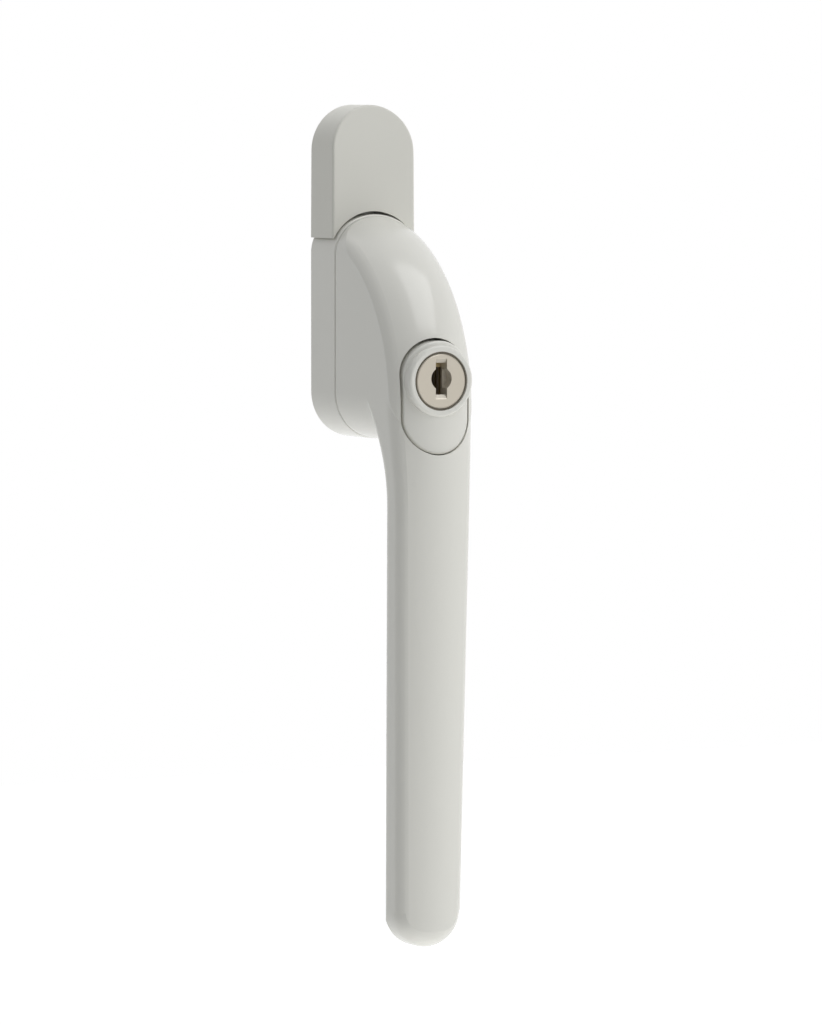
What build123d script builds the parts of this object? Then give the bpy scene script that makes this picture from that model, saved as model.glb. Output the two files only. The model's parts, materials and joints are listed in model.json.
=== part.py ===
"""Locking window handle: die-cast lever and base, screw cover, push button and key cylinder.

The origin is on the spindle axis, at the face that lies on the window. X points to the
right, Z up, and the handle stands out from the window towards -Y. Depths are measured
forwards from the window, so a depth of 10 lies at Y = -10.
"""

import os
from math import sqrt

from build123d import *

os.makedirs("parts", exist_ok=True)

# Base plate and its fixings
plate_length = 69.0
base_width = 19.2
base_depth = 10.7
base_web = 3.2
base_wall = 1.6
shoulder_round = 7.5
edge_break = 0.4
fixing_pitch = 43.0
fixing_radius = 2.65
fixing_head_radius = 4.7
fixing_boss_radius = 5.3
tongue_depth = 5.0

# Cover cap
cap_flare = 0.1
cap_draft = 0.2
cap_depth = 9.8
cap_dome = 12.0
cap_top_depth = 8.2
cap_wall = 1.4
cap_edge_round = 0.5
cap_gap = 0.25
arch_rise = 1.9
arch_gap = 0.65
horn_width = 0.3
lip_width = 0.9
lip_height = 1.0
lip_depth = 1.8

# Lever: neck, then grip, seen from the side and in section
seam_gap = 0.3
rim_step = 0.1
neck_top = 11.5
top_step = 0.4
neck_front = 39.4
arch_drop = 2.1
neck_crown = 13.5
neck_corner = 4.2
neck_thickness = 18.0
throat_sweep = 2.5
throat_drop = 48.0
throat_width = 16.9
throat_front = 39.2
grip_reach = 138.1
grip_thickness = 9.8
grip_crown = 15.5
grip_corner = 3.0
end_width = 14.7
end_front = 36.4
end_slack = 0.1
end_edge_round = 4.6
heel_round = 2.6

# Hub and spindle
hub_start = 0.8
flat_cut = 1.0
flat_length = 2.3
running_gap = 0.05
bush_wall = 0.9
bush_flange = 0.8
thrust_gap = 0.1
flange_room = 0.25
flange_width = 1.75
washer_thickness = 1.0
disc_thickness = 0.4
disc_height = 0.9
ring_thickness = 1.0
ring_bite = 0.57
ring_step = 0.25
spindle_size = 7.0
spindle_bevel = 0.4
spindle_seat = 4.8
spindle_reach = 10.0
cross_pin_radius = 1.25
fit_gap = 0.03
detent_thickness = 0.7
detent_width = 1.9
detent_post_radius = 2.0
detent_bend = 2.0
detent_drop = 3.0

# Push button, pin and spring
button_radius = 7.45
button_length = 23.2
button_rise = 0.75
button_travel = 3.0
button_gap = 0.15
mouth_play = 0.4
button_skirt = 5.4
button_crown = 15.0
panel_round = 0.6
collar_step = 0.5
collar_inset = 0.1
collar_round = 0.7
boss_length = 6.8
boss_wall = 0.45
floor_thickness = 6.0
stop_gap = 0.3
pin_radius = 1.75
pin_gap = 0.15
pin_wall = 0.75
pin_skin = 1.5
pin_bevel = 0.45
clip_thickness = 0.7
clip_radius = 3.6
clip_groove = 0.45
clip_seat = 2.1
clip_room = 0.4
clip_slot = 2.2
pin_seat = 5.5
spring_wire = 0.3
spring_radius = 2.45
spring_turns = 6

# Key cylinder
plug_head_radius = 5.55
plug_head_length = 2.5
plug_radius = 4.7
plug_length = 14.2
sleeve_rim_radius = 6.0
sleeve_rim_recess = 0.6
sleeve_radius = 5.6
sleeve_root = 0.7
plug_bevel = 0.2
key_width = 2.6
key_height = 6.5
key_rise = 0.5
key_lead = 0.9
key_lead_depth = 0.5
key_eye_radius = 2.35
key_eye_depth = 2.2
key_depth = 11.2
wafer_count = 5
wafer_pitch = 1.75
wafer_thickness = 0.9
wafer_width = 4.2
wafer_height = 7.8
wafer_window = 5.6
wafer_gap = 0.05
lug_width = 1.2
lug_height = 0.8
lug_travel = 1.2
wafer_spring_wire = 0.1
wafer_spring_radius = 0.33
wafer_spring_length = 2.2
wafer_spring_turns = 4
cam_thickness = 1.0
cam_reach = 6.8
cam_width = 4.4
cam_hub_radius = 3.5
cam_square = 3.6
cam_gap = 0.25
tail_radius = 3.0
tail_length = 2.0
ledge_inner = 5.4
ledge_height = 5.0
cam_screw_radius = 1.2
cam_screw_head = 2.5
cam_screw_head_height = 1.3
cam_screw_length = 5.0
cam_screw_slot = 0.6
access_radius = 3.2

# Levels and centres that several pieces share
base_half = base_width / 2
lever_half = base_half - rim_step
cap_half = (base_width + cap_flare) / 2
crown_half = (base_width - cap_draft) / 2
tongue_half = crown_half - cap_wall - cap_gap
rosette_top = neck_top + top_step
end_centre = plate_length / 2 - base_half
end_radius = end_width / 2 + end_slack
screw_height = fixing_pitch / 2
lever_back = base_depth + seam_gap
web_back = base_depth - base_web
flange_radius = base_half - base_wall - flange_room
ring_radius = flange_radius - ring_step
hub_radius = flange_radius - flange_width
flat_width = 2 * (hub_radius - flat_cut)
bush_radius = hub_radius + running_gap + bush_wall
spindle_half = spindle_size / 2
spindle_corner = sqrt(spindle_half**2 + (spindle_half - spindle_bevel) ** 2)
ring_groove = ring_bite * (hub_radius - spindle_corner)
cap_cutout = rosette_top + arch_gap - arch_rise
lip_low = rosette_top + cap_gap
dome_low = plate_length / 2 - cap_dome
dome_drop = cap_depth - cap_top_depth
dome_radius = (dome_drop**2 + cap_dome**2) / (2 * dome_drop)
lock_height = -screw_height
button_high = lock_height + button_rise
button_low = button_high + 2 * button_radius - button_length
key_middle = lock_height + key_rise
pin_height = lock_height - sleeve_radius - pin_wall - pin_radius
button_back = neck_front - button_skirt
boss_back = button_back - boss_length
skirt_floor = button_back - button_travel - stop_gap
boss_radius = button_radius - boss_wall
boss_low = pin_height - pin_radius - pin_skin + boss_radius
mouth_radius = button_radius + button_gap + mouth_play / 2
deep_radius = boss_radius + button_gap
plug_back = neck_front - plug_length
cam_front = plug_back - tail_length
cam_back = cam_front - cam_thickness
ledge_front = cam_back - cam_gap
ledge_back = cam_front - button_travel + cam_gap
pocket_floor = lever_back + floor_thickness
clip_stop = pocket_floor - clip_seat
clip_front = clip_stop - pin_gap
head_back = neck_front - plug_head_length
rim_back = head_back - sleeve_root
washer_front = web_back - bush_flange - thrust_gap
washer_back = washer_front - washer_thickness
ring_front = washer_back - disc_height
ring_back = ring_front - ring_thickness
cross_pin_depth = web_back + base_web / 2


def front(depth):
    """Plane parallel to the window, facing forwards, at a depth from the window."""
    return Plane.XZ.offset(depth)


def level(height):
    """Horizontal plane whose second direction points forwards, away from the window."""
    return Plane(origin=(0, 0, height), x_dir=(1, 0, 0), z_dir=(0, 0, -1))


def rosette(depth, half_width, top, corner):
    """Outline of the base and neck: round about the spindle above, straight sides, round foot."""
    shoulder = sqrt(top**2 - half_width**2)
    with BuildSketch(front(depth)) as outline:
        with BuildLine():
            Line((half_width, -end_centre), (half_width, shoulder))
            ThreePointArc((half_width, shoulder), (0, top), (-half_width, shoulder))
            Line((-half_width, shoulder), (-half_width, -end_centre))
            ThreePointArc(
                (-half_width, -end_centre),
                (0, -end_centre - half_width),
                (half_width, -end_centre),
            )
        make_face()
        fillet(outline.vertices().group_by(Axis.Y)[-1], corner)
    return outline.sketch


def cap_outline(depth, inset):
    """Outline of the cover, which narrows a little towards its round top."""
    low_half = cap_half - inset
    high_half = crown_half - inset
    with BuildSketch(front(depth)) as outline:
        with BuildLine():
            Polyline((-high_half, end_centre), (-low_half, 0), (low_half, 0), (high_half, end_centre))
            ThreePointArc(
                (high_half, end_centre),
                (0, plate_length / 2 - inset),
                (-high_half, end_centre),
            )
        make_face()
    return outline.sketch


def stadium(depth, radius, high, low, side=0.0):
    """Upright slot with round ends centred at two heights."""
    with BuildSketch(front(depth)) as outline:
        with Locations((side, (high + low) / 2)):
            SlotCenterToCenter(high - low, 2 * radius, rotation=90)
    return outline.sketch


def disc(depth, radius, height=0.0):
    """Round outline on the spindle axis, or at a height above it."""
    with BuildSketch(front(depth)) as outline:
        with Locations((0, height)):
            Circle(radius)
    return outline.sketch


def block(depth, width, tall, height=0.0, side=0.0):
    """Rectangular outline centred at a place seen from the front."""
    with BuildSketch(front(depth)) as outline:
        with Locations((side, height)):
            Rectangle(width, tall)
    return outline.sketch


def lever_section(height, half_width, front_depth, back_depth, crown, corner, back_corner):
    """Horizontal section of the lever: crowned front, rounded corners, flat back."""
    edge_depth = front_depth - crown + sqrt(crown**2 - half_width**2)
    with BuildSketch(level(height)) as section:
        with BuildLine():
            ThreePointArc((-half_width, edge_depth), (0, front_depth), (half_width, edge_depth))
            Polyline(
                (half_width, edge_depth),
                (half_width, back_depth),
                (-half_width, back_depth),
                (-half_width, edge_depth),
            )
        make_face()
        fillet(section.vertices().group_by(Axis.Y)[-1], corner)
        fillet(section.vertices().group_by(Axis.Y)[0], back_corner)
    return section.sketch


def mix(first, last, share):
    """Value part of the way from the first to the last."""
    return first + (last - first) * share


# Base plate: a hollow rosette behind the neck and a flat tongue under the cover
with BuildPart() as base_plate:
    extrude(rosette(0, base_half, rosette_top, shoulder_round), amount=base_depth)
    fillet(base_plate.faces().sort_by(Axis.Y)[0].edges(), edge_break)
    hollow_round = shoulder_round - base_wall
    extrude(
        rosette(0, base_half - base_wall, rosette_top - base_wall, hollow_round),
        amount=web_back,
        mode=Mode.SUBTRACT,
    )
    extrude(disc(0, fixing_boss_radius, -screw_height), amount=web_back)
    detent_low = -flat_width / 2 - detent_drop
    post_height = detent_low - detent_thickness - detent_post_radius
    extrude(disc(hub_start, detent_post_radius, post_height), amount=web_back - hub_start)
    with BuildSketch(front(0)):
        with BuildLine():
            Polyline(
                (-tongue_half, end_centre),
                (-tongue_half, 0),
                (tongue_half, 0),
                (tongue_half, end_centre),
            )
            ThreePointArc(
                (tongue_half, end_centre),
                (0, end_centre + tongue_half),
                (-tongue_half, end_centre),
            )
        make_face()
        Circle(rosette_top - base_wall / 2, mode=Mode.SUBTRACT)
    extrude(amount=tongue_depth)
    groove_half = tongue_half - lip_width
    for side in (-1, 1):
        groove = block(
            lip_depth - cap_gap,
            2 * lip_width,
            plate_length / 2 - rosette_top,
            (plate_length / 2 + rosette_top) / 2,
            side * tongue_half,
        )
        extrude(groove, amount=lip_height + 2 * cap_gap, mode=Mode.SUBTRACT)
    with Locations(front(tongue_depth) * Pos(0, screw_height), front(base_depth) * Pos(0, -screw_height)):
        CounterSinkHole(fixing_radius, fixing_head_radius, counter_sink_angle=90)
    extrude(disc(0, bush_radius + fit_gap), amount=base_depth, mode=Mode.SUBTRACT)
    extrude(disc(web_back, pin_radius + pin_gap, pin_height), amount=base_web, mode=Mode.SUBTRACT)
base_plate.part.label = "base_plate"
export_step(base_plate.part, "parts/base_plate.step")

# Hub bush: plain flanged bearing, pressed into the web from behind
with BuildPart() as hub_bush:
    extrude(disc(web_back, bush_radius), amount=base_web)
    extrude(disc(web_back - bush_flange, flange_radius), amount=bush_flange)
    extrude(disc(0, hub_radius + running_gap), amount=base_depth, mode=Mode.SUBTRACT)
hub_bush.part.label = "hub_bush"
export_step(hub_bush.part, "parts/hub_bush.step")

# Detent spring: a U of strip on the hub's flats, which spreads as the corners pass
with BuildPart() as detent_spring:
    leg = flat_width / 2 + fit_gap + detent_thickness / 2
    bridge = detent_low - detent_thickness / 2
    with BuildSketch(front(hub_start + fit_gap)):
        with BuildLine():
            FilletPolyline(
                (-leg, hub_radius),
                (-leg, bridge),
                (leg, bridge),
                (leg, hub_radius),
                radius=detent_bend,
            )
        trace(line_width=detent_thickness)
    extrude(amount=detent_width)
detent_spring.part.label = "detent_spring"
export_step(detent_spring.part, "parts/detent_spring.step")


def cap_solid(inset):
    """The cover's outside, which curves back a little at the top, or the hollow behind it."""
    with BuildPart() as solid:
        extrude(cap_outline(0, inset), amount=cap_depth)
        with BuildSketch(Plane.YZ.offset(-base_width)):
            Rectangle(cap_depth - inset, dome_low, align=(Align.MAX, Align.MIN))
            with Locations((dome_radius - cap_depth, dome_low)):
                Circle(dome_radius - inset)
        extrude(amount=2 * base_width, mode=Mode.INTERSECT)
    return solid.part


# Cover cap: thin moulded shell with two lips that run in the tongue's grooves
with BuildPart() as cover_cap:
    add(cap_solid(0))
    face, dome = cover_cap.faces().sort_by(Axis.Y)[:2]
    fillet((face.edges() + dome.edges()).filter_by(Axis.X, reverse=True), cap_edge_round)
    add(cap_solid(cap_wall), mode=Mode.SUBTRACT)
    inner_half = cap_half - cap_wall
    lip_end = end_centre - cap_wall
    for side in (-1, 1):
        lip = block(
            lip_depth,
            inner_half - groove_half,
            lip_end - lip_low,
            (lip_end + lip_low) / 2,
            side * ((inner_half + groove_half) / 2 + cap_gap),
        )
        extrude(lip, amount=lip_height)
    extrude(disc(0, cap_cutout, arch_rise), amount=cap_depth, mode=Mode.SUBTRACT)
    horn_height = arch_rise + sqrt(cap_cutout**2 - (cap_half - horn_width) ** 2)
    extrude(
        block(0, 3 * cap_half, cap_cutout, horn_height - cap_cutout / 2),
        amount=cap_depth,
        mode=Mode.SUBTRACT,
    )
cover_cap.part.label = "cover_cap"
export_step(cover_cap.part, "parts/cover_cap.step")

# Lever: the neck is a crowned section turned about an axis below the spindle
foot_height = -end_centre
arch_height = foot_height - arch_drop
rise = neck_top - arch_height
arch_depth = (neck_front**2 - lever_back**2 - rise**2) / (2 * (neck_front - lever_back))
arch_axis = Axis((0, -arch_depth, arch_height), (-1, 0, 0))
throat_height = -throat_drop
end_height = -grip_reach


def throat_share(height):
    """How far a height is down from the neck's foot to the throat, up to 1."""
    return min((height - foot_height) / (throat_height - foot_height), 1)


def grip_size(neck, throat, end, height):
    """Size of the grip at a height: a straight taper that eases out of the neck above the throat."""
    taper = mix(throat, end, (height - throat_height) / (end_height - throat_height))
    taper_at_neck = mix(throat, end, (foot_height - throat_height) / (end_height - throat_height))
    share = throat_share(height)
    ease = share**2 * (3 - 2 * share)
    return taper + (neck - taper_at_neck) * (1 - ease)


def grip_section(height):
    """Horizontal section of the grip at a height, its back swept up towards the base."""
    front_depth = grip_size(neck_front, throat_front, end_front, height)
    thickness = mix(grip_thickness, neck_thickness, (1 - throat_share(height)) ** throat_sweep)
    return lever_section(
        height,
        grip_size(lever_half, throat_width / 2, end_width / 2, height),
        front_depth,
        front_depth - thickness,
        grip_size(neck_crown, grip_crown, grip_crown, height),
        grip_size(neck_corner, grip_corner, grip_corner, height),
        grip_corner,
    )


neck_section = lever_section(
    arch_height, base_half, neck_front, lever_back - seam_gap, neck_crown, neck_corner, seam_gap
)
# What is taken off the grip's square end to leave half a disc with a rounded rim
with BuildPart() as end_waste:
    end_axis = end_height + end_radius
    rim_depth = grip_size(neck_front, throat_front, end_front, end_axis)
    heel_depth = end_front - grip_thickness
    extrude(block(0, base_width, 2 * end_radius, end_height), amount=neck_front)
    with BuildSketch(Plane.XY.offset(end_axis)) as rim:
        with Locations((0, -rim_depth)):
            Rectangle(end_radius, rim_depth - heel_depth, align=(Align.MIN, Align.MIN))
        fillet(rim.vertices().group_by(Axis.X)[-1].sort_by(Axis.Y)[0], end_edge_round)
        fillet(rim.vertices().group_by(Axis.X)[-1].sort_by(Axis.Y)[-1], heel_round)
    revolve(axis=Axis((0, 0, end_axis), (0, 1, 0)), mode=Mode.SUBTRACT)
with BuildPart() as lever:
    revolve(neck_section, axis=arch_axis, revolution_arc=90)
    extrude(neck_section, amount=base_half)
    outline = rosette(lever_back, lever_half, neck_top, shoulder_round)
    extrude(outline, amount=neck_front, mode=Mode.INTERSECT)
    # The grip eases out of the neck's lower half to its throat, then tapers straight to its end
    loft([grip_section(mix(foot_height, throat_height, share / 4)) for share in range(5)])
    loft([grip_section(throat_height), grip_section(end_height)], ruled=True)
    add(end_waste.part, mode=Mode.SUBTRACT)
    # Hub: a journal with a square socket, ring groove, detent flats and cross hole
    extrude(disc(hub_start, hub_radius), amount=lever_back + spindle_seat - hub_start)
    socket = spindle_size + 2 * fit_gap
    extrude(
        block(hub_start, socket, socket),
        amount=lever_back + spindle_seat - hub_start,
        mode=Mode.SUBTRACT,
    )
    with BuildSketch(front(ring_back - fit_gap)):
        Circle(hub_radius)
        Circle(hub_radius - ring_groove, mode=Mode.SUBTRACT)
    extrude(amount=ring_thickness + 2 * fit_gap, mode=Mode.SUBTRACT)
    with BuildSketch(front(hub_start)):
        Rectangle(2 * hub_radius, 2 * hub_radius)
        Rectangle(flat_width, flat_width, mode=Mode.SUBTRACT)
    extrude(amount=flat_length, mode=Mode.SUBTRACT)
    with BuildSketch(Plane.YZ.offset(-hub_radius)):
        with Locations((-cross_pin_depth, 0)):
            Circle(cross_pin_radius + fit_gap)
    extrude(amount=2 * hub_radius, mode=Mode.SUBTRACT)
    # Pocket: shallow for the button's skirt, wider above and to the left, where the button's play
    # shows, and deep for its boss and the key cylinder
    play = mouth_play / 2
    extrude(
        stadium(skirt_floor, mouth_radius, button_high + play, button_low + play, -play),
        amount=neck_front,
        mode=Mode.SUBTRACT,
    )
    extrude(
        stadium(pocket_floor, deep_radius, lock_height, boss_low),
        amount=neck_front,
        mode=Mode.SUBTRACT,
    )
    ledge_outer = (deep_radius + lever_half) / 2
    ledge_middle = (ledge_inner + ledge_outer) / 2
    extrude(
        block(ledge_back, ledge_outer - ledge_inner, ledge_height, lock_height, ledge_middle),
        amount=ledge_front - ledge_back,
    )
    # From behind: the pin's hole with room for its clip, and a hole to reach the cam's screw
    for radius, height, stop in (
        (pin_radius + pin_gap, pin_height, pocket_floor),
        (clip_radius + clip_room, pin_height, clip_stop),
        (access_radius, lock_height, pocket_floor),
    ):
        extrude(disc(lever_back, radius, height), amount=stop - lever_back, mode=Mode.SUBTRACT)
lever.part.label = "lever"
export_step(lever.part, "parts/lever.step")

# Spindle: square bar, pinned in the hub
with BuildPart() as spindle:
    extrude(
        block(-spindle_reach, spindle_size, spindle_size),
        amount=spindle_reach + lever_back + spindle_seat - fit_gap,
    )
    chamfer(spindle.edges().filter_by(Axis.Y), spindle_bevel)
    with BuildSketch(Plane.YZ.offset(-hub_radius)):
        with Locations((-cross_pin_depth, 0)):
            Circle(cross_pin_radius + fit_gap)
    extrude(amount=2 * hub_radius, mode=Mode.SUBTRACT)
spindle.part.label = "spindle"
export_step(spindle.part, "parts/spindle.step")

# Spindle pin: across the hub, kept in by the bush around it
with BuildPart() as spindle_pin:
    pin_half = sqrt(hub_radius**2 - cross_pin_radius**2) - running_gap
    with BuildSketch(Plane.YZ.offset(-pin_half)):
        with Locations((-cross_pin_depth, 0)):
            Circle(cross_pin_radius)
    extrude(amount=2 * pin_half)
spindle_pin.part.label = "spindle_pin"
export_step(spindle_pin.part, "parts/spindle_pin.step")

# Thrust washer: turns with the hub against the bush's flange
with BuildPart() as thrust_washer:
    with BuildSketch(front(washer_back)):
        Circle(flange_radius)
        Circle(hub_radius + running_gap, mode=Mode.SUBTRACT)
    extrude(amount=washer_thickness)
thrust_washer.part.label = "thrust_washer"
export_step(thrust_washer.part, "parts/thrust_washer.step")

# Disc spring: a shallow cone between the washer and the retaining ring
with BuildPart() as disc_spring:
    with BuildSketch(Plane.XY):
        with BuildLine():
            Polyline(
                (hub_radius + running_gap, -ring_front),
                (hub_radius + running_gap, -ring_front - disc_thickness),
                (ring_radius, -washer_back),
                (ring_radius, -washer_back + disc_thickness),
                close=True,
            )
        make_face()
    revolve(axis=Axis.Y)
disc_spring.part.label = "disc_spring"
export_step(disc_spring.part, "parts/disc_spring.step")

# Retaining ring: open ring sprung into the hub's groove
with BuildPart() as retaining_ring:
    groove_floor = hub_radius - ring_groove + fit_gap
    with BuildSketch(front(ring_back)):
        Circle(ring_radius)
        Circle(groove_floor, mode=Mode.SUBTRACT)
        with Locations((0, ring_radius)):
            Rectangle(groove_floor, 2 * (ring_radius - groove_floor) + groove_floor, mode=Mode.SUBTRACT)
    extrude(amount=ring_thickness)
retaining_ring.part.label = "retaining_ring"
export_step(retaining_ring.part, "parts/retaining_ring.step")

# Lock button: crowned thumb panel, round collar for the cylinder, boss behind
panel_front = neck_front - collar_step
panel_edge = panel_front - button_crown + sqrt(button_crown**2 - lever_half**2)
with BuildPart() as lock_button:
    extrude(stadium(button_back, button_radius, button_high, button_low), amount=button_skirt)
    with BuildSketch(level(lock_height + button_length)):
        with BuildLine():
            ThreePointArc((-lever_half, panel_edge), (0, panel_front), (lever_half, panel_edge))
            Polyline((lever_half, panel_edge), (lever_half, 0), (-lever_half, 0), (-lever_half, panel_edge))
        make_face()
    extrude(amount=3 * button_length, mode=Mode.INTERSECT)
    fillet(lock_button.faces().sort_by(Axis.Y)[0].edges(), panel_round)
    extrude(disc(button_back, button_radius - collar_inset, lock_height), amount=button_skirt)
    fillet(lock_button.faces().sort_by(Axis.Y)[0].edges(), collar_round)
    extrude(stadium(boss_back, boss_radius, lock_height, boss_low), amount=boss_length)
    extrude(disc(boss_back, sleeve_radius + fit_gap, lock_height), amount=neck_front, mode=Mode.SUBTRACT)
    extrude(
        disc(rim_back - fit_gap, sleeve_rim_radius + fit_gap, lock_height),
        amount=neck_front,
        mode=Mode.SUBTRACT,
    )
    extrude(disc(boss_back, pin_radius + fit_gap, pin_height), amount=pin_seat, mode=Mode.SUBTRACT)
lock_button.part.label = "lock_button"
export_step(lock_button.part, "parts/lock_button.step")

# Lock sleeve: the cylinder's barrel, its rim a little behind the face
with BuildPart() as lock_sleeve:
    rim_front = neck_front - sleeve_rim_recess
    extrude(disc(boss_back, sleeve_radius, lock_height), amount=rim_front - boss_back)
    extrude(disc(rim_back, sleeve_rim_radius, lock_height), amount=rim_front - rim_back)
    extrude(disc(boss_back, plug_radius + running_gap, lock_height), amount=neck_front, mode=Mode.SUBTRACT)
    extrude(
        disc(head_back - fit_gap, plug_head_radius + running_gap, lock_height),
        amount=neck_front,
        mode=Mode.SUBTRACT,
    )
lock_sleeve.part.label = "lock_sleeve"
export_step(lock_sleeve.part, "parts/lock_sleeve.step")

# Lock plug: head, body with keyway and wafer slots, and a square tail for the cam
wafer_depths = [head_back - wafer_thickness - wafer_pitch * i for i in range(wafer_count)]
slot_thickness = wafer_thickness + 2 * wafer_gap
lug_side = wafer_width / 2 + lug_width / 2
spring_top = -lug_height / 2
spring_foot = spring_top - wafer_spring_length
slot_high = lug_height / 2 + lug_travel
slot_low = spring_foot - wafer_gap
with BuildPart() as lock_plug:
    extrude(disc(plug_back, plug_radius, lock_height), amount=plug_length)
    extrude(disc(head_back, plug_head_radius, lock_height), amount=plug_head_length)
    extrude(disc(cam_front, tail_radius, lock_height), amount=tail_length)
    extrude(block(cam_back, cam_square, cam_square, lock_height), amount=cam_thickness)
    chamfer(lock_plug.faces().sort_by(Axis.Y)[0].edges(), plug_bevel)
    key_floor = neck_front - key_depth
    extrude(block(key_floor, key_width, key_height, key_middle), amount=key_depth, mode=Mode.SUBTRACT)
    extrude(
        disc(neck_front - key_eye_depth, key_eye_radius, key_middle),
        amount=key_eye_depth,
        mode=Mode.SUBTRACT,
    )
    # The keyway's ends slope in from the face
    with BuildSketch(Plane.YZ.offset(-key_width / 2)):
        with BuildLine():
            Polyline(
                (-neck_front, key_middle + key_height / 2 + key_lead),
                (-neck_front + key_lead_depth, key_middle + key_height / 2),
                (-neck_front + key_lead_depth, key_middle - key_height / 2),
                (-neck_front, key_middle - key_height / 2 - key_lead),
                close=True,
            )
        make_face()
    extrude(amount=key_width, mode=Mode.SUBTRACT)
    for depth in wafer_depths:
        with BuildSketch(front(depth - slot_thickness / 2)):
            with Locations((0, lock_height)):
                Rectangle(wafer_width + 2 * wafer_gap, 2 * plug_radius)
            with Locations((lug_side, lock_height + (slot_high + slot_low) / 2)):
                Rectangle(lug_width + 2 * wafer_gap, slot_high - slot_low)
        extrude(amount=slot_thickness, mode=Mode.SUBTRACT)
    extrude(
        disc(cam_back, cam_screw_radius + fit_gap, lock_height),
        amount=cam_screw_length,
        mode=Mode.SUBTRACT,
    )
lock_plug.part.label = "lock_plug"
export_step(lock_plug.part, "parts/lock_plug.step")

# Wafer tumblers: windowed plates with a lug each, level with the plug's wall as when the key is in
with BuildPart() as wafer_tumblers:
    for depth in wafer_depths:
        with BuildSketch(front(depth - wafer_thickness / 2)):
            with Locations((0, lock_height)):
                Rectangle(wafer_width, wafer_height)
                Rectangle(key_width + 2 * wafer_gap, wafer_window, mode=Mode.SUBTRACT)
            with Locations((lug_side, lock_height)):
                Rectangle(lug_width, lug_height)
        extrude(amount=wafer_thickness)
wafer_tumblers.part.label = "wafer_tumblers"
export_step(wafer_tumblers.part, "parts/wafer_tumblers.step")

# Wafer springs: one coil under each lug
with BuildPart() as wafer_springs:
    for depth in wafer_depths:
        coil_height = wafer_spring_length - 2 * wafer_spring_wire
        with BuildLine() as coil:
            Helix(
                coil_height / wafer_spring_turns,
                coil_height,
                wafer_spring_radius,
                center=(lug_side, -depth, lock_height + spring_foot + wafer_spring_wire),
            )
        with BuildSketch(Plane(coil.line @ 0, z_dir=coil.line % 0)):
            RegularPolygon(wafer_spring_wire, 6)
        sweep(path=coil.line, is_frenet=True)
wafer_springs.part.label = "wafer_springs"
export_step(wafer_springs.part, "parts/wafer_springs.step")

# Lock cam: a finger on the plug's square, upright while the button is free
with BuildPart() as lock_cam:
    with BuildSketch(front(cam_back)):
        with Locations((0, lock_height)):
            Circle(cam_hub_radius)
        with Locations((0, lock_height + cam_reach / 2)):
            Rectangle(cam_width, cam_reach)
        with Locations((0, lock_height)):
            Circle(cam_reach, mode=Mode.INTERSECT)
            Rectangle(cam_square + 2 * fit_gap, cam_square + 2 * fit_gap, mode=Mode.SUBTRACT)
    extrude(amount=cam_thickness)
lock_cam.part.label = "lock_cam"
export_step(lock_cam.part, "parts/lock_cam.step")

# Cam screw: slotted cheese head, clamps the cam to the plug
with BuildPart() as cam_screw:
    head_front = cam_back
    extrude(
        disc(head_front - cam_screw_head_height, cam_screw_head, lock_height),
        amount=cam_screw_head_height,
    )
    extrude(disc(head_front, cam_screw_radius, lock_height), amount=cam_screw_length - fit_gap)
    extrude(
        block(head_front - cam_screw_head_height, 2 * cam_screw_head, cam_screw_slot, lock_height),
        amount=cam_screw_head_height / 2,
        mode=Mode.SUBTRACT,
    )
cam_screw.part.label = "cam_screw"
export_step(cam_screw.part, "parts/cam_screw.step")

# Lock pin: pressed into the button, its tip just inside the neck's back face
with BuildPart() as lock_pin:
    pin_tip = lever_back + stop_gap
    extrude(disc(pin_tip, pin_radius, pin_height), amount=boss_back + pin_seat - fit_gap - pin_tip)
    chamfer(lock_pin.faces().sort_by(Axis.Y)[-1].edges(), pin_bevel)
    with BuildSketch(front(clip_front - clip_thickness - fit_gap)):
        with Locations((0, pin_height)):
            Circle(pin_radius)
            Circle(pin_radius - clip_groove, mode=Mode.SUBTRACT)
    extrude(amount=clip_thickness + 2 * fit_gap, mode=Mode.SUBTRACT)
lock_pin.part.label = "lock_pin"
export_step(lock_pin.part, "parts/lock_pin.step")

# Pin clip: open clip in the pin's groove, stops the button's way out
with BuildPart() as pin_clip:
    with BuildSketch(front(clip_front - clip_thickness)):
        with Locations((0, pin_height)):
            Circle(clip_radius)
            Circle(pin_radius - clip_groove + fit_gap, mode=Mode.SUBTRACT)
        with Locations((0, pin_height - clip_radius)):
            Rectangle(clip_slot, 2 * clip_radius, mode=Mode.SUBTRACT)
    extrude(amount=clip_thickness)
pin_clip.part.label = "pin_clip"
export_step(pin_clip.part, "parts/pin_clip.step")

# Button spring: coil around the pin, between the pocket's floor and the boss
with BuildPart() as button_spring:
    coil_start = pocket_floor + spring_wire + fit_gap
    coil_length = boss_back - spring_wire - fit_gap - coil_start
    with BuildLine() as coil:
        Helix(
            coil_length / spring_turns,
            coil_length,
            spring_radius,
            center=(0, -coil_start, pin_height),
            direction=(0, -1, 0),
        )
    with BuildSketch(Plane(coil.line @ 0, z_dir=coil.line % 0)):
        RegularPolygon(spring_wire, 6)
    sweep(path=coil.line, is_frenet=True)
button_spring.part.label = "button_spring"
export_step(button_spring.part, "parts/button_spring.step")
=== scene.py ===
# %% [markdown]
# # A locking window handle
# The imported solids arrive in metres, in the same frame as the drawing: the spindle runs along Y,
# the grip hangs down along -Z and the room is on the -Y side. The solids are the handle's own shapes,
# so this lesson is about surfaces, light and the camera. Only one spring gets a piece of its own.

import json
from math import cos, pi, radians, sin

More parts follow.
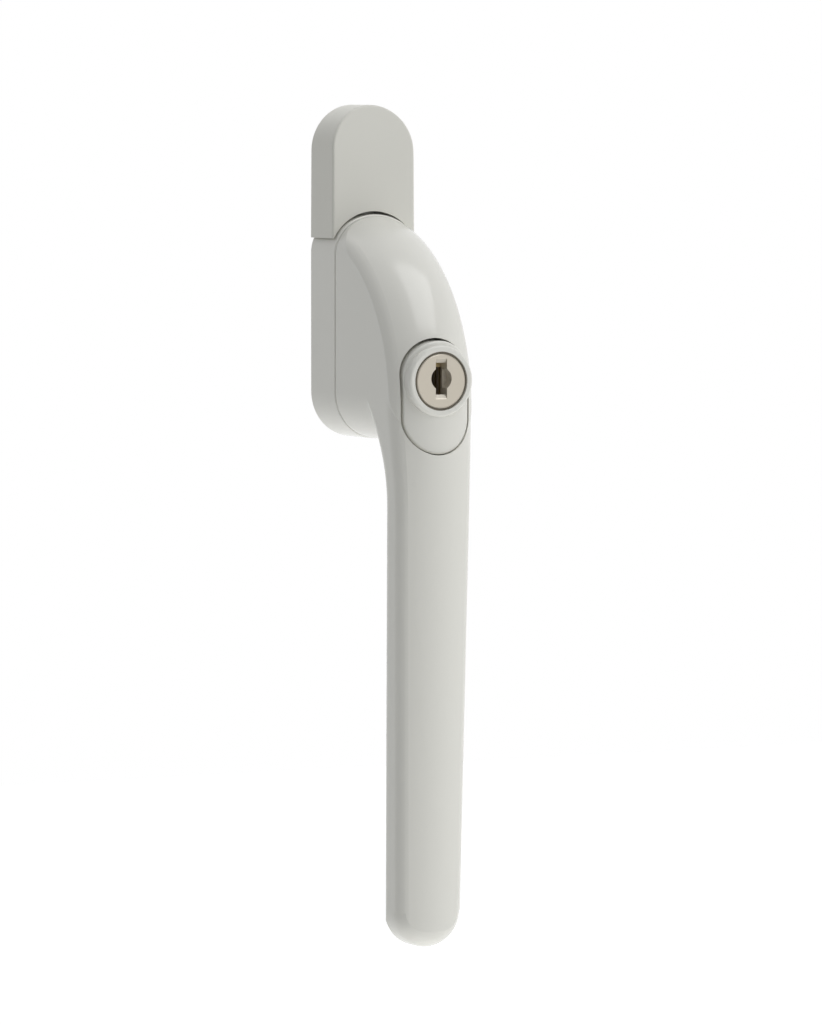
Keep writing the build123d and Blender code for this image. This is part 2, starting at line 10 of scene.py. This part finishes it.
import bpy
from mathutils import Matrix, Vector


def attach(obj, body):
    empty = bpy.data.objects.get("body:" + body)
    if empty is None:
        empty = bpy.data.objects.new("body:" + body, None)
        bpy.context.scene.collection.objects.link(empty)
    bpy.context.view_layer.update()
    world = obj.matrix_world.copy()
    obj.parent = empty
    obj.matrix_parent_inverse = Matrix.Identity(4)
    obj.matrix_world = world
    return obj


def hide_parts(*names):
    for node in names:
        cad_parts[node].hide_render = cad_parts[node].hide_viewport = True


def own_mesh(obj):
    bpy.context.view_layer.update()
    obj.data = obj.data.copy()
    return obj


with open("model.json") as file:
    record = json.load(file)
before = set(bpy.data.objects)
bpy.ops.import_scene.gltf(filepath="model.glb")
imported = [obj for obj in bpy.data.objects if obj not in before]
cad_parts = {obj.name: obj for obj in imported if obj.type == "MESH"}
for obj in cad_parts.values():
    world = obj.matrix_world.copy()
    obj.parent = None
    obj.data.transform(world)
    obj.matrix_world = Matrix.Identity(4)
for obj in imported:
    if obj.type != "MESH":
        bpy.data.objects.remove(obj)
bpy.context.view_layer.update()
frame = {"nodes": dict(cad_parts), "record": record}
nodes = frame["nodes"]
MM = 0.001

# %% [markdown]
# ## Small helpers for materials
# Colours are read as the hex values one would pick from a swatch, which are sRGB, and Blender's
# sockets want linear light. A node helper sets inputs and links in one line, so that a material
# reads from top to bottom like a recipe.


# %% Colour and node helpers
def linear(hex_code):
    """Linear RGBA of an sRGB hex colour."""
    channels = [int(hex_code[i : i + 2], 16) / 255 for i in (0, 2, 4)]
    return (*[c / 12.92 if c <= 0.04045 else ((c + 0.055) / 1.055) ** 2.4 for c in channels], 1)


def node(tree, kind, settings=None, **inputs):
    """Adds a node with its own settings. An input is a value or a link, written (node, output).

    From_Min stands for the input From Min, and _6 for the input with the number 6.
    """
    made = tree.nodes.new(kind)
    for name, value in (settings or {}).items():
        setattr(made, name, value)
    for name, value in inputs.items():
        numbered = name[1:].isdigit()
        socket = made.inputs[int(name[1:]) if numbered else name.replace("_", " ")]
        if isinstance(value, tuple) and isinstance(value[0], bpy.types.Node):
            tree.links.new(value[0].outputs[value[1]], socket)
        else:
            socket.default_value = value
    return made


def material(name):
    """A material with a Principled shader; returns it, its tree and the shader."""
    made = bpy.data.materials.new(name)
    made.use_nodes = True
    return made, made.node_tree, made.node_tree.nodes["Principled BSDF"]


print("a swatch of 808080 is", round(linear("808080")[0], 3), "in linear light")

# %% [markdown]
# ## White powder coat and white nylon
# The base, the lever and the button are zinc castings with a satin powder coat. Baked powder melts
# into a skin with a very slight orange peel, a ripple about 1.5 mm from crest to crest that is too
# shallow to feel. It blurs reflections a little more than its roughness alone would.
#
# The screw cover is moulded in white nylon to match the castings. Its mould was spark eroded, which
# leaves a finer and drier texture than paint.


# %% Powder coat and nylon
def pebbled_skin(name, hex_code, roughness, ior, grain_mm, relief):
    """A coloured skin with a fine random relief; relief is a share of its full depth."""
    made, tree, shader = material(name)
    full_depth_mm = 0.02
    place = node(tree, "ShaderNodeTexCoord")
    grain = node(
        tree,
        "ShaderNodeTexNoise",
        Vector=(place, "Object"),
        Scale=1 / (grain_mm * MM),
        Detail=1.0,
    )
    bumps = node(tree, "ShaderNodeBump", Strength=relief, Distance=full_depth_mm * MM, Height=(grain, 0))
    shader.inputs["Base Color"].default_value = linear(hex_code)
    shader.inputs["Roughness"].default_value = roughness
    shader.inputs["IOR"].default_value = ior
    tree.links.new(bumps.outputs["Normal"], shader.inputs["Normal"])
    return made


white_coat = pebbled_skin(
    "white_powder_coat", "EAE9E2", roughness=0.18, ior=1.5, grain_mm=1.5, relief=0.04
)
white_nylon = pebbled_skin(
    "white_moulded_nylon", "E2E1D9", roughness=0.42, ior=1.53, grain_mm=0.5, relief=0.05
)
print("made", white_coat.name, white_nylon.name)

# %% [markdown]
# ## Turned and plated metal
# The key cylinder is turned brass under nickel. The tool leaves rings about the lock's axis, a tenth of a
# millimetre apart, which here are drawn three times as coarse so that they show. Nickel is a warm grey
# beside zinc or steel. Only the face is wiped bright: the edges of the keyway have a film that hides the
# metal's shine, and deep inside it a darker colour is painted shade. The face and the axis are read from
# the plug's own solid. The sleeve's rim lies in a groove round the plug, and its darker finish of its own
# is painted shade in that groove.

# %% Nickel
plug_points = [vertex.co for vertex in nodes["lock_plug"].data.vertices]
face_depth = min(point.y for point in plug_points)
lock_height = (min(point.z for point in plug_points) + max(point.z for point in plug_points)) / 2
ring_mm = 0.3
groove_mm = 0.02
# Depths behind the face where the film and the painted shade begin and where they are full
film_from_mm, film_full_mm = 0.01, 0.08
shade_from_mm, shade_full_mm = 2.3, 3.2
filmed_shine = 0.2
# Blender's ring wave repeats after this length where its scale is 1
wave_length = 2 * pi / 20


def turned_metal(name, face_hex, inner_shade_hex, roughness):
    """Plated metal with turning rings about the lock's axis, with painted shade deep behind the lock's
    face.
    """
    made, tree, shader = material(name)
    place = node(tree, "ShaderNodeTexCoord")
    centred = node(tree, "ShaderNodeMapping", Vector=(place, "Object"), Location=(0, 0, -lock_height))
    rings = node(
        tree,
        "ShaderNodeTexWave",
        {"wave_type": "RINGS", "rings_direction": "Y"},
        Vector=(centred, 0),
        Scale=wave_length / (ring_mm * MM),
        Distortion=0.4,
        Detail=2.0,
    )
    cut = node(tree, "ShaderNodeBump", Strength=0.08, Distance=groove_mm * MM, Height=(rings, "Fac"))
    axes = node(tree, "ShaderNodeSeparateXYZ", Vector=(place, "Object"))
    # Painted shade: the colour turns darker deep in the keyway, behind the face
    deep_shade = node(
        tree,
        "ShaderNodeMapRange",
        Value=(axes, "Y"),
        From_Min=face_depth + shade_from_mm * MM,
        From_Max=face_depth + shade_full_mm * MM,
    )
    # On a colour mix, 0 is the factor, 6 and 7 are the two colours and output 2 is the result
    tone = node(
        tree,
        "ShaderNodeMix",
        {"data_type": "RGBA"},
        _0=(deep_shade, 0),
        _6=linear(face_hex),
        _7=linear(inner_shade_hex),
    )
    shine = node(
        tree,
        "ShaderNodeMapRange",
        Value=(axes, "Y"),
        From_Min=face_depth + film_from_mm * MM,
        From_Max=face_depth + film_full_mm * MM,
        To_Min=1.0,
        To_Max=filmed_shine,
    )
    shader.inputs["Roughness"].default_value = roughness
    tree.links.new(tone.outputs[2], shader.inputs["Base Color"])
    tree.links.new(shine.outputs[0], shader.inputs["Metallic"])
    tree.links.new(cut.outputs["Normal"], shader.inputs["Normal"])
    return made


# The darker colour deep in the keyway is painted shade
keyway_shade_hex = "A3968A"
nickel = turned_metal("turned_nickel_plate", "C3BCAF", keyway_shade_hex, roughness=0.36)
# The sleeve's darker nickel is painted shade in the groove round the plug
sleeve_shade_nickel = turned_metal("sleeve_nickel_painted_shade", "7C7568", keyway_shade_hex, roughness=0.45)
print("made", nickel.name, sleeve_shade_nickel.name)
print("face at mm", round(face_depth / MM, 2), "axis at mm", round(lock_height / MM, 2))

# %% [markdown]
# ## The hidden materials
# Steel parts inside are zinc plated, springs are drawn wire or strip, the wafers are stamped brass
# and the bush is black acetal. They are seen only from behind, through the keyway or when the cover
# is off.


# %% Steel, spring wire, brass and acetal
def plain_finish(name, hex_code, metallic, roughness, grain_mm):
    """A finish whose roughness varies a little with its grain."""
    made, tree, shader = material(name)
    spread = 0.06
    place = node(tree, "ShaderNodeTexCoord")
    grain = node(tree, "ShaderNodeTexNoise", Vector=(place, "Object"), Scale=1 / (grain_mm * MM))
    varied = node(
        tree,
        "ShaderNodeMapRange",
        Value=(grain, 0),
        To_Min=roughness - spread,
        To_Max=roughness + spread,
    )
    shader.inputs["Base Color"].default_value = linear(hex_code)
    shader.inputs["Metallic"].default_value = metallic
    tree.links.new(varied.outputs[0], shader.inputs["Roughness"])
    return made


zinc_plate = plain_finish("bright_zinc_plated_steel", "C4C6C8", metallic=1.0, roughness=0.3, grain_mm=0.8)
spring_steel = plain_finish("drawn_spring_steel", "9A9CA0", metallic=1.0, roughness=0.28, grain_mm=0.4)
brass = plain_finish("stamped_brass", "B3A27A", metallic=1.0, roughness=0.45, grain_mm=0.6)
acetal = plain_finish("black_acetal", "262626", metallic=0.0, roughness=0.45, grain_mm=0.5)
print("made", zinc_plate.name, spring_steel.name, brass.name, acetal.name)

# %% [markdown]
# ## Finishes on the solids
# The record gives each solid a material slot, and each slot has one finish here. The sleeve shares the
# plug's slot and then takes its own darker finish, which is painted shade in the groove round the plug.

# %% Put the finishes on
finish_of_slot = {
    "white_paint": white_coat,
    "white_nylon": white_nylon,
    "nickel_plate": nickel,
    "zinc_plated_steel": zinc_plate,
    "spring_steel": spring_steel,
    "wafer_brass": brass,
    "black_acetal": acetal,
}
for row in frame["record"]["subparts"]:
    mesh = nodes[row["node"]].data
    mesh.materials.clear()
    mesh.materials.append(finish_of_slot[row["material_slot"]])
# The sleeve takes the darker nickel, painted shade for its groove
nodes["lock_sleeve"].data.materials[0] = sleeve_shade_nickel
print("finishes", len(finish_of_slot) + 1)

# %% [markdown]
# ## The button spring
# The button's coil spring sits between the lever and the button, and the button drives into it, so a
# rigid coil would be cut through. A copy of the solid stands in for it: its loose triangles are merged,
# and it stays with the lever.

# %% Button spring
merge_mm = 0.001
smooth_up_to = radians(70)
bpy.ops.object.select_all(action="DESELECT")
coil = bpy.data.objects.new("button_coil", nodes["button_spring"].data.copy())
bpy.context.scene.collection.objects.link(coil)
bpy.context.view_layer.objects.active = coil
coil.select_set(True)
bpy.ops.object.mode_set(mode="EDIT")
bpy.ops.mesh.select_all(action="SELECT")
bpy.ops.mesh.remove_doubles(threshold=merge_mm * MM)
bpy.ops.object.mode_set(mode="OBJECT")
bpy.ops.object.shade_smooth_by_angle(angle=smooth_up_to)
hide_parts("button_spring")
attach(coil, "lever")
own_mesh(coil)

# %% [markdown]
# ## Floor
# A window handle is about a metre above the floor, so a pale floor lies that far down and throws a
# little light back up. The photograph is cut out on white, so the floor adds white for rays from the
# camera and in reflections. Light Path tells these apart from the rays that light the surfaces.


# %% Floor
def seen_plainly(tree):
    """A value of 1 for rays from the camera, a reflection or through a clear material."""
    rays = node(tree, "ShaderNodeLightPath")
    opaque = node(
        tree,
        "ShaderNodeMath",
        {"operation": "ADD"},
        _0=(rays, "Is Camera Ray"),
        _1=(rays, "Is Glossy Ray"),
    )
    return node(
        tree,
        "ShaderNodeMath",
        {"operation": "ADD", "use_clamp": True},
        _0=(opaque, 0),
        _1=(rays, "Is Transmission Ray"),
    )


floor_below_mm = 1000
floor_size_mm = 16000
added_white = 0.75
full_white = (1, 1, 1, 1)
pale_floor, tree, shader = material("pale_floor")
glow = node(tree, "ShaderNodeMath", {"operation": "MULTIPLY"}, _0=(seen_plainly(tree), 0), _1=added_white)
shader.inputs["Base Color"].default_value = linear("F2F2EF")
shader.inputs["Roughness"].default_value = 0.8
shader.inputs["Emission Color"].default_value = full_white
tree.links.new(glow.outputs[0], shader.inputs["Emission Strength"])
bpy.ops.object.select_all(action="DESELECT")
bpy.ops.mesh.primitive_plane_add(size=floor_size_mm * MM, location=(0, 0, -floor_below_mm * MM))
floor = bpy.context.object
floor.name = "floor"
floor.data.materials.append(pale_floor)
print("floor at mm", -floor_below_mm)

# %% [markdown]
# ## World
# The world is a soft white room: a weak, even light for the surfaces, and plain white where the
# camera or a reflection sees it, so that the white puts no light on the object.

# %% World
ambient_strength = 0.3
world = bpy.data.worlds.new("studio")
bpy.context.scene.world = world
world.use_nodes = True
tree = world.node_tree
ambient = tree.nodes["Background"]
ambient.inputs["Color"].default_value = linear("F4F6F8")
ambient.inputs["Strength"].default_value = ambient_strength
white = node(tree, "ShaderNodeBackground", Color=full_white, Strength=1.0)
shown = node(tree, "ShaderNodeMixShader", _0=(seen_plainly(tree), 0), _1=(ambient, 0), _2=(white, 0))
tree.links.new(shown.outputs[0], tree.nodes["World Output"].inputs["Surface"])
print("world", world.name)

# %% [markdown]
# ## Lamps
# The neck's highlight has a clear left edge. Followed back from the camera through the neck's
# normals, that edge is the left side of a panel overhead, so this lamp is seen in reflections. The
# others only fill: from the front and the right, on the cover's shoulder from above and behind, and
# from below, as a pale floor would. They are kept out of reflections, and all out of the picture.


# %% Lamps
def soft_box(name, place_mm, aim_mm, size_mm, watts, mirrored=False):
    """A rectangular lamp at a place, turned to a point, and seen in reflections if mirrored."""
    lamp = bpy.data.lights.new(name, "AREA")
    lamp.shape = "RECTANGLE"
    lamp.size = size_mm[0] * MM
    lamp.size_y = size_mm[1] * MM
    lamp.energy = watts
    made = bpy.data.objects.new(name, lamp)
    bpy.context.scene.collection.objects.link(made)
    made.location = Vector(place_mm) * MM
    made.rotation_euler = (Vector(aim_mm) - Vector(place_mm)).to_track_quat("-Z", "Y").to_euler()
    made.visible_camera = False
    made.visible_glossy = mirrored


middle_mm = (0, -20, -40)
soft_box("overhead_panel", (380, -560, 900), (380, -560, 0), (800, 950), 5.4, mirrored=True)
soft_box("front_right", (700, -1200, 150), middle_mm, (1150, 1150), 2.6)
soft_box("side_right", (1100, -350, 50), middle_mm, (700, 1200), 1.5)
soft_box("low_right", (500, -500, -500), middle_mm, (600, 600), 1.6)
soft_box("top_back", (-260, 380, 760), middle_mm, (400, 400), 1.6)
soft_box("floor_bounce", (-160, 0, -850), middle_mm, (900, 900), 3.3)
print("lamps", len(bpy.data.lights))

# %% [markdown]
# ## Camera
# A long lens about one and a half metres away, a little above the spindle and to the left of the
# handle, gives the photograph's near-parallel sides. It is aimed so that the spindle falls on its
# pixel in the photograph, counted from the upper left.

# %% Camera
camera_azimuth = radians(27.5)
camera_distance_mm = 1500
camera_height_mm = 45
focal_pixels = 7200
frame_pixels = (822, 1024)
spindle_pixel = (352.1, 54)
toward = Vector((sin(camera_azimuth), cos(camera_azimuth), 0))
right = Vector((cos(camera_azimuth), -sin(camera_azimuth), 0))
camera_place = -toward * camera_distance_mm + Vector((0, 0, camera_height_mm))
pixel_mm = camera_distance_mm / focal_pixels
centre_mm = (
    right * (frame_pixels[0] / 2 - spindle_pixel[0]) * pixel_mm
    + Vector((0, 0, camera_height_mm - (frame_pixels[1] / 2 - spindle_pixel[1]) * pixel_mm))
)
lens = bpy.data.cameras.new("long_lens")
lens.sensor_width = 36
# Blender lays the sensor's width along the frame's longer side, which is its height here
lens.lens = focal_pixels / frame_pixels[1] * lens.sensor_width
lens.clip_start = 0.01
lens.clip_end = 20
camera = bpy.data.objects.new("camera", lens)
bpy.context.scene.collection.objects.link(camera)
camera.location = camera_place * MM
camera.rotation_euler = (centre_mm - camera_place).to_track_quat("-Z", "Y").to_euler()
bpy.context.scene.camera = camera
print("lens mm", round(lens.lens, 1), "aimed at", [round(v, 1) for v in centre_mm])

# %% [markdown]
# ## Finish
# Colours should come out as they are written, so the view transform is Standard.

# %% View settings
bpy.context.scene.view_settings.view_transform = "Standard"
